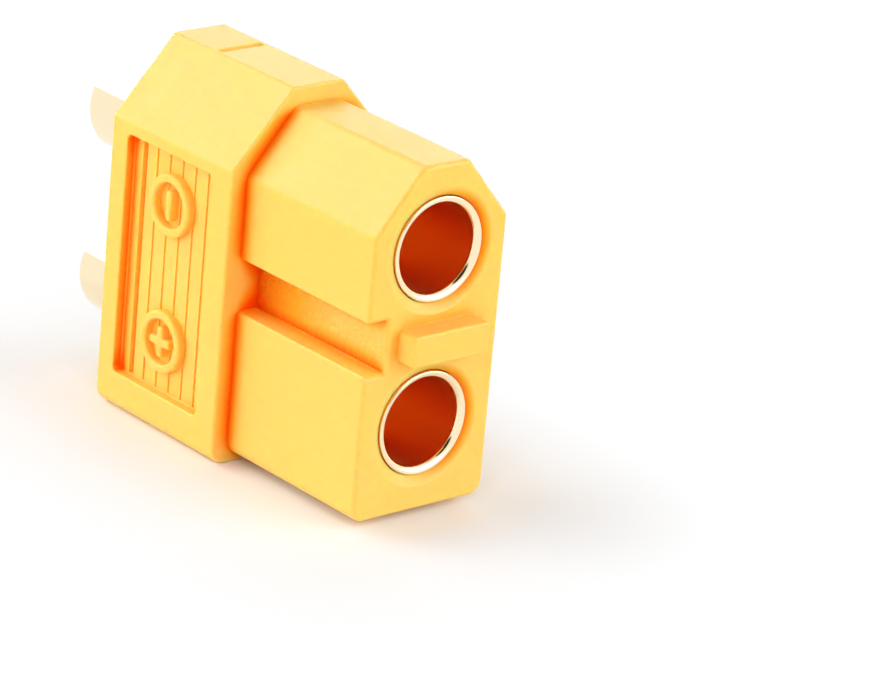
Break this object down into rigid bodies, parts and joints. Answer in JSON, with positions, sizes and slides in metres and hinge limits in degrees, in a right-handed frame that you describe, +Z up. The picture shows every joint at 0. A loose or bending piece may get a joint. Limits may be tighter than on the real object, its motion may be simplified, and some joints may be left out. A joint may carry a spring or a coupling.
{
  "type": "battery lead socket connector",
  "caption": "Polarised battery lead socket connector: a bevelled yellow housing with gold-plated pin sockets, a guide slot, a key bar and rear solder cups.",
  "frame": {"origin": "middle of the part's box, on the surface it stands on", "axes": "+X out of the mating face, +Y across the thickness away from the guide slot, +Z up, towards the bevels and the negative contact"},
  "size_m": [0.0208, 0.0082, 0.0155],
  "materials": {
    "housing_nylon": "satin amber nylon with a fine eroded texture in its recesses",
    "contact_gold": "bright gold plating on turned brass"
  },
  "bodies": {
    "root": {"housing": "housing_nylon", "negative_contact": "contact_gold", "positive_contact": "contact_gold"}
  },
  "joints": []
}
